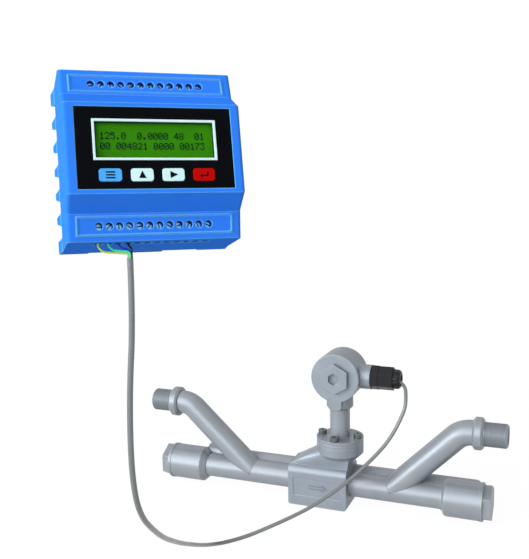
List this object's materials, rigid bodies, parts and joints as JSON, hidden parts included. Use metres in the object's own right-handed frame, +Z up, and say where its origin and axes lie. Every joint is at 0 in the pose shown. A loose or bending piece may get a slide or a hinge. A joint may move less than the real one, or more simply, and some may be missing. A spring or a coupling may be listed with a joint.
{
  "type": "ultrasonic flow meter",
  "caption": "Blue rail-mounted transmitter with display and keys, wired by a thin cable to an in-line ultrasonic flow sensor with bent branch pipes and a junction head.",
  "frame": {"origin": "centre of the inlet spigot's end face", "axes": "+X from inlet to outlet along the spigots' axis, +Y to the back of the sensor, +Z up along the neck towards the junction head"},
  "size_m": [0.338, 0.3799, 0.3606],
  "materials": {
    "pipe_steel": "satin",
    "cast_silver": "satin",
    "screw_steel": "satin",
    "seal_rubber": "matt",
    "transducer": "matt",
    "gland_black": "satin",
    "cable_grey": "satin",
    "core_yellow": "satin",
    "core_green": "satin",
    "core_blue": "satin",
    "core_black": "satin",
    "case_blue": "satin",
    "base_black": "satin",
    "panel_black": "satin",
    "trim_white": "satin",
    "window_clear": "gloss",
    "lcd_green": "satin",
    "board_green": "satin",
    "terminal_black": "satin",
    "screw_zinc": "bright",
    "key_blue": "satin",
    "key_white": "satin",
    "key_red": "satin"
  },
  "bodies": {
    "meter": {"measuring_tube": "pipe_steel", "inlet_branch": "pipe_steel", "outlet_branch": "pipe_steel", "inlet_spigot": "pipe_steel", "outlet_spigot": "pipe_steel", "inlet_socket": "pipe_steel", "outlet_socket": "pipe_steel", "inlet_plug_seal": "seal_rubber", "outlet_plug_seal": "seal_rubber", "inlet_end_plug": "pipe_steel", "outlet_end_plug": "pipe_steel", "inlet_transducer": "transducer", "outlet_transducer": "transducer", "inlet_conduit": "pipe_steel", "outlet_conduit": "pipe_steel", "centre_block": "cast_silver", "neck_gasket": "seal_rubber", "neck_stem": "pipe_steel", "flange_screws": "screw_steel", "junction_head": "cast_silver", "head_seal": "seal_rubber", "head_plug": "cast_silver", "terminal_strip": "terminal_black", "gland_body": "gland_black", "gland_nut": "gland_black", "cable_seal": "seal_rubber", "signal_cable": "cable_grey", "yellow_core": "core_yellow", "green_core": "core_green", "blue_core": "core_blue", "black_core": "core_black", "front_cover": "case_blue", "front_panel": "panel_black", "display_frame": "trim_white", "display_window": "window_clear", "lcd_panel": "lcd_green", "display_board": "board_green", "key_switches": "terminal_black", "pin_header": "terminal_black", "main_board": "board_green", "upper_terminal_block": "terminal_black", "lower_terminal_block": "terminal_black", "upper_terminal_screws": "screw_zinc", "lower_terminal_screws": "screw_zinc", "rear_base": "base_black"},
    "menu_key": {"menu_key": "key_blue"},
    "up_key": {"up_key": "key_white"},
    "right_key": {"right_key": "key_white"},
    "enter_key": {"enter_key": "key_red"},
    "rail_latch": {"rail_latch": "base_black"}
  },
  "joints": [
    {"name": "menu_press", "type": "slide", "parent": "meter", "child": "menu_key", "axis": [-0.6308, 0.7333, -0.2538], "range_m": [0, 0.0005], "stiffness_N_per_m": 2000},
    {"name": "up_press", "type": "slide", "parent": "meter", "child": "up_key", "axis": [-0.6308, 0.7333, -0.2538], "range_m": [0, 0.0005], "stiffness_N_per_m": 2000},
    {"name": "right_press", "type": "slide", "parent": "meter", "child": "right_key", "axis": [-0.6308, 0.7333, -0.2538], "range_m": [0, 0.0005], "stiffness_N_per_m": 2000},
    {"name": "enter_press", "type": "slide", "parent": "meter", "child": "enter_key", "axis": [-0.6308, 0.7333, -0.2538], "range_m": [0, 0.0005], "stiffness_N_per_m": 2000},
    {"name": "latch_slide", "type": "slide", "parent": "meter", "child": "rail_latch", "axis": [0.1502, -0.2054, -0.9671], "range_m": [0, 0.004], "stiffness_N_per_m": 1500}
  ]
}
